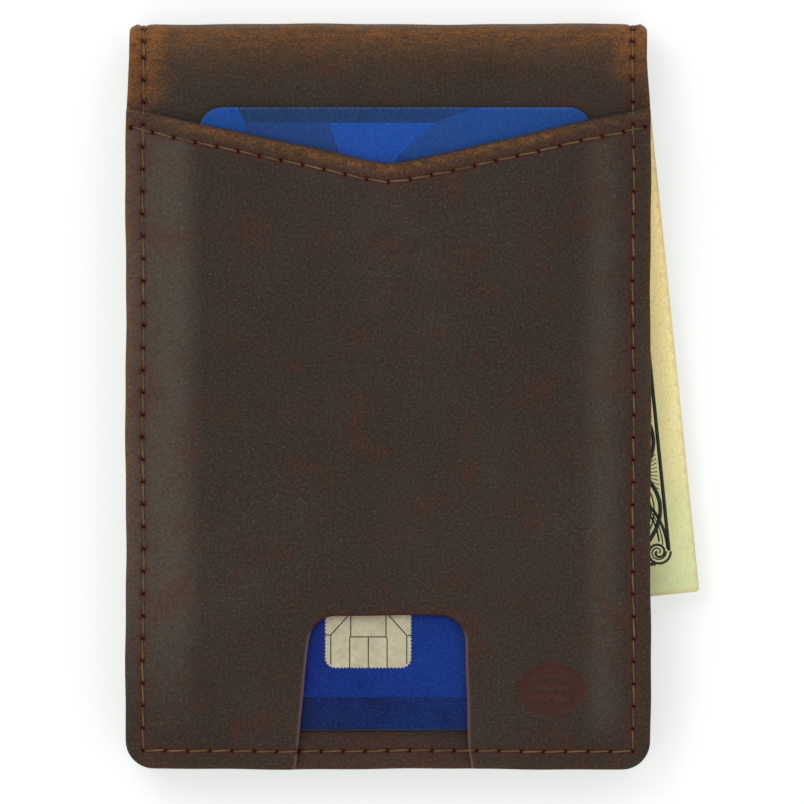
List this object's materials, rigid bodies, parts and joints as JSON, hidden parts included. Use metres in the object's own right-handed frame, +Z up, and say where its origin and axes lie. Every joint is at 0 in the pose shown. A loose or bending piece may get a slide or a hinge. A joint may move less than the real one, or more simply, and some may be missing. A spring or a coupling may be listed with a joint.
{
  "type": "minimalist wallet",
  "caption": "Slim leather bifold wallet with a front card pocket, inner card slots, an ID window and a sprung note clip, holding a card and a folded note.",
  "frame": {"origin": "middle of the back face, on the surface that the closed wallet lies on", "axes": "+Z up through the thickness, from the back face to the pocket face; +Y towards the fold; +X to the right, the side that the note shows at"},
  "size_m": [0.079, 0.1026, 0.0116],
  "materials": {
    "shell_leather": "oiled pull-up, satin",
    "panel_leather": "oiled, satin",
    "shield_lining": "fine woven, foil backed",
    "clear_film": "clear gloss",
    "clip_steel": "brushed",
    "spring_steel": "drawn wire",
    "rivet_brass": "antique",
    "stitch_thread": "waxed polyester",
    "card_plastic": "printed, satin laminate",
    "chip_contacts": "thin gold plate",
    "note_paper": "cotton paper, printed"
  },
  "bodies": {
    "back_half": {"shell_back": "shell_leather", "shield_back": "shield_lining", "back_inner_panel": "panel_leather", "deep_card_slot": "panel_leather", "shallow_card_slot": "panel_leather", "clip_patch": "panel_leather", "clip_base": "clip_steel", "clip_pin": "clip_steel", "clip_springs": "spring_steel", "clip_rivets": "rivet_brass", "stitching_back_face": "stitch_thread", "stitching_card_slots": "stitch_thread"},
    "fold_lower": {"shell_fold_lower": "shell_leather", "shield_fold_lower": "shield_lining", "stitching_fold_lower": "stitch_thread"},
    "fold_upper": {"shell_fold_upper": "shell_leather", "shield_fold_upper": "shield_lining", "stitching_fold_upper": "stitch_thread"},
    "front_half": {"shell_front": "shell_leather", "shield_front": "shield_lining", "front_pocket": "shell_leather", "front_inner_panel": "panel_leather", "id_window_frame": "panel_leather", "id_window_film": "clear_film", "stitching_front_face": "stitch_thread", "stitching_pocket_mouth": "stitch_thread", "stitching_id_window": "stitch_thread"},
    "clip_arm": {"clip_arm": "clip_steel"},
    "payment_card": {"payment_card": "card_plastic", "card_chip": "chip_contacts"},
    "banknote": {"banknote": "note_paper"}
  },
  "joints": [
    {"name": "fold_1", "type": "hinge", "parent": "back_half", "child": "fold_lower", "pos_m": [0, 0.04893, 0.00064], "axis": [-1, 0, 0], "range_deg": [0, 60]},
    {"name": "fold_2", "type": "hinge", "parent": "fold_lower", "child": "fold_upper", "pos_m": [0, 0.0513, 0.00475], "axis": [-1, 0, 0], "range_deg": [0, 60]},
    {"name": "fold_3", "type": "hinge", "parent": "fold_upper", "child": "front_half", "pos_m": [0, 0.04893, 0.00886], "axis": [-1, 0, 0], "range_deg": [0, 60]},
    {"name": "clip_lift", "type": "hinge", "parent": "back_half", "child": "clip_arm", "pos_m": [0, 0.0469, 0.0043], "axis": [-1, 0, 0], "range_deg": [0, 75], "deforming": ["clip_springs"]},
    {"name": "card_slide", "type": "slide", "parent": "front_half", "child": "payment_card", "axis": [0, 1, 0], "range_m": [0, 0.088]},
    {"name": "note_slide", "type": "slide", "parent": "back_half", "child": "banknote", "axis": [0.9949, 0.1011, 0], "range_m": [0, 0.072]}
  ],
  "couplings": [
    {"joint": "fold_2", "follows": "fold_1", "ratio": 1},
    {"joint": "fold_3", "follows": "fold_1", "ratio": 1},
    {"joint": "clip_lift", "follows": "fold_1", "ratio": 1.25}
  ]
}
